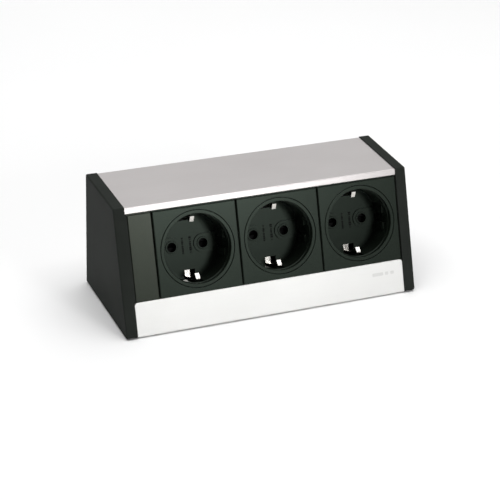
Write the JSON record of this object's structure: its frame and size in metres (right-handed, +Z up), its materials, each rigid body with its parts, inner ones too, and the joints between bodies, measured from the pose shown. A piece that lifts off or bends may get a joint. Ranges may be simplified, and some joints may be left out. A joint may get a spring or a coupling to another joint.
{
  "type": "desk power strip",
  "caption": "Wedge-shaped desk power strip: sloping front with a row of recessed round earthed sockets, black plastic modules and end caps in an aluminium housing.",
  "frame": {"origin": "middle of the footprint, on the desk surface that the rubber feet stand on", "axes": "+X along the strip towards the right-hand end as the user sees it, -Y towards the user (the sloping socket side), +Y the upright back, +Z up"},
  "size_m": [0.1784, 0.0742, 0.0697],
  "materials": {
    "anodised_aluminium": "satin anodised",
    "bright_anodised_aluminium": "bright satin anodised",
    "cap_plastic": "fine matt texture",
    "module_plastic": "fine matt texture",
    "inlet_plastic": "matt",
    "shutter_plastic": "smooth",
    "base_plastic": "smooth, off-white",
    "nickel_plate": "nickel plated",
    "contact_brass": "bare brass",
    "tinned_copper": "tinned",
    "zinc_steel": "zinc plated",
    "spring_steel": "drawn wire",
    "black_rubber": "matt",
    "brown_insulation": "smooth",
    "blue_insulation": "smooth",
    "green_yellow_insulation": "smooth, green with a yellow stripe"
  },
  "bodies": {
    "strip": {"housing_profile": "anodised_aluminium", "front_trim": "bright_anodised_aluminium", "left_end_cap": "cap_plastic", "right_end_cap": "cap_plastic", "left_end_plate": "zinc_steel", "right_end_plate": "zinc_steel", "left_end_screws": "zinc_steel", "right_end_screws": "zinc_steel", "rubber_feet": "black_rubber", "fixing_inserts": "zinc_steel", "inlet_body": "inlet_plastic", "inlet_pins": "nickel_plate", "blank_cover": "module_plastic", "line_wires": "brown_insulation", "neutral_wires": "blue_insulation", "earth_wires": "green_yellow_insulation", "bond_terminal": "tinned_copper", "bond_screw": "zinc_steel", "socket_1_plate": "module_plastic", "socket_1_cup": "module_plastic", "socket_1_floor": "module_plastic", "socket_1_shutter_spring": "spring_steel", "socket_1_base": "base_plastic", "socket_1_earth_bracket": "nickel_plate", "socket_1_line_contact": "contact_brass", "socket_1_neutral_contact": "contact_brass", "socket_1_screws": "zinc_steel", "socket_2_plate": "module_plastic", "socket_2_cup": "module_plastic", "socket_2_floor": "module_plastic", "socket_2_shutter_spring": "spring_steel", "socket_2_base": "base_plastic", "socket_2_earth_bracket": "nickel_plate", "socket_2_line_contact": "contact_brass", "socket_2_neutral_contact": "contact_brass", "socket_2_screws": "zinc_steel", "socket_3_plate": "module_plastic", "socket_3_cup": "module_plastic", "socket_3_floor": "module_plastic", "socket_3_shutter_spring": "spring_steel", "socket_3_base": "base_plastic", "socket_3_earth_bracket": "nickel_plate", "socket_3_line_contact": "contact_brass", "socket_3_neutral_contact": "contact_brass", "socket_3_screws": "zinc_steel"},
    "shutter_1": {"socket_1_shutter": "shutter_plastic"},
    "shutter_2": {"socket_2_shutter": "shutter_plastic"},
    "shutter_3": {"socket_3_shutter": "shutter_plastic"}
  },
  "joints": [
    {"name": "shutter_1_turn", "type": "hinge", "parent": "strip", "child": "shutter_1", "pos_m": [-0.04225, -0.00077, 0.03483], "axis": [0, -0.9418, 0.3362], "range_deg": [0, 38], "stiffness_Nm_per_rad": 0.0005, "springref_deg": -20.05, "deforming": ["socket_1_shutter_spring"]},
    {"name": "shutter_2_turn", "type": "hinge", "parent": "strip", "child": "shutter_2", "pos_m": [0.00775, -0.00077, 0.03483], "axis": [0, -0.9418, 0.3362], "range_deg": [0, 38], "stiffness_Nm_per_rad": 0.0005, "springref_deg": -20.05, "deforming": ["socket_2_shutter_spring"]},
    {"name": "shutter_3_turn", "type": "hinge", "parent": "strip", "child": "shutter_3", "pos_m": [0.05775, -0.00077, 0.03483], "axis": [0, -0.9418, 0.3362], "range_deg": [0, 38], "stiffness_Nm_per_rad": 0.0005, "springref_deg": -20.05, "deforming": ["socket_3_shutter_spring"]}
  ]
}
